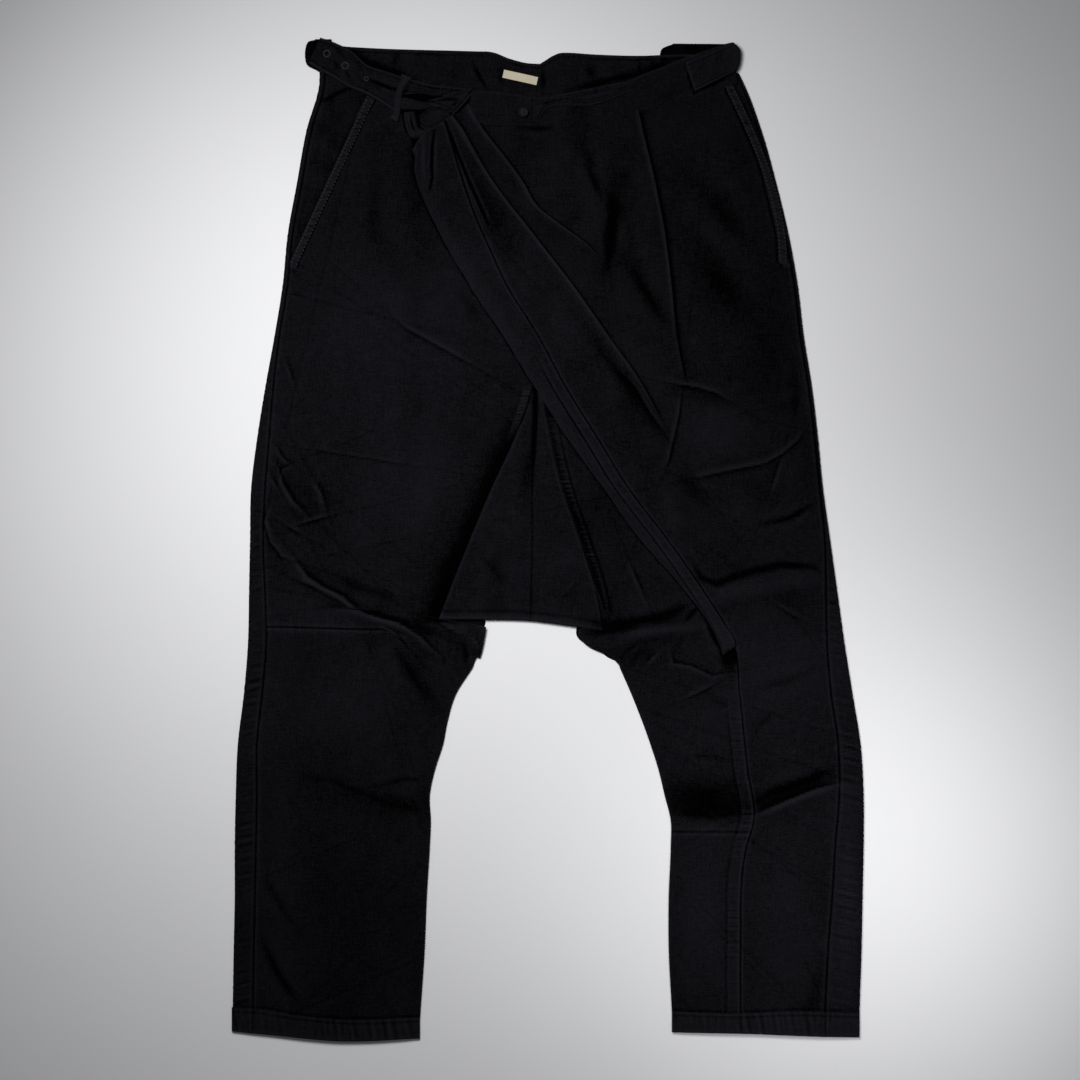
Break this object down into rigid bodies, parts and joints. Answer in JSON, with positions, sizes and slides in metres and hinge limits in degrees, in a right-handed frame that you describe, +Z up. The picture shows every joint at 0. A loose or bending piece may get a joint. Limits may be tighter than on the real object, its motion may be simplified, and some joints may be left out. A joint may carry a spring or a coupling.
{
  "type": "gurkha pants",
  "caption": "Black cotton gurkha trousers laid flat: wrap front with knife pleats, dropped gusset crotch, strap waistband with eyelets and a button, slant pockets, tapered legs.",
  "frame": {"origin": "middle of the laid garment, on the surface that it lies on", "axes": "+Y from the hems to the waist, +X towards the wearer's left leg, +Z up from the surface through the front"},
  "size_m": [0.6192, 0.9807, 0.0117],
  "materials": {
    "black_cotton": "matte, napped",
    "label_cotton": "matte woven",
    "eyelet_metal": "aged, dull",
    "button_metal": "aged, dull"
  },
  "bodies": {
    "root": {"back_left": "black_cotton", "back_right": "black_cotton", "back_waistband_left": "black_cotton", "back_waistband_right": "black_cotton", "belt_loop": "black_cotton", "crotch_fold": "black_cotton", "crotch_panel_left": "black_cotton", "front_button": "button_metal", "front_left": "black_cotton", "front_right_lower": "black_cotton", "front_right_upper": "black_cotton", "gusset_fell_left": "black_cotton", "gusset_left": "black_cotton", "gusset_right": "black_cotton", "hem_left": "black_cotton", "hem_right": "black_cotton", "inner_leg_left_lower": "black_cotton", "inner_leg_left_upper": "black_cotton", "inseam_fell_left": "black_cotton", "label": "label_cotton", "outseam_fell_left": "black_cotton", "outseam_fell_right": "black_cotton", "pocket_edge_left": "black_cotton", "pocket_edge_right": "black_cotton", "pocket_facing_left": "black_cotton", "pocket_facing_right": "black_cotton", "side_strap_left": "black_cotton", "side_strap_right": "black_cotton", "strap_end": "black_cotton", "strap_eyelet_1": "eyelet_metal", "strap_eyelet_2": "eyelet_metal", "strap_eyelet_3": "eyelet_metal", "waistband_front_centre": "black_cotton", "waistband_front_left": "black_cotton", "waistband_front_roll": "black_cotton", "waistband_strap_right": "black_cotton", "wrap_fold": "black_cotton", "wrap_seam_fell": "black_cotton"}
  },
  "joints": []
}
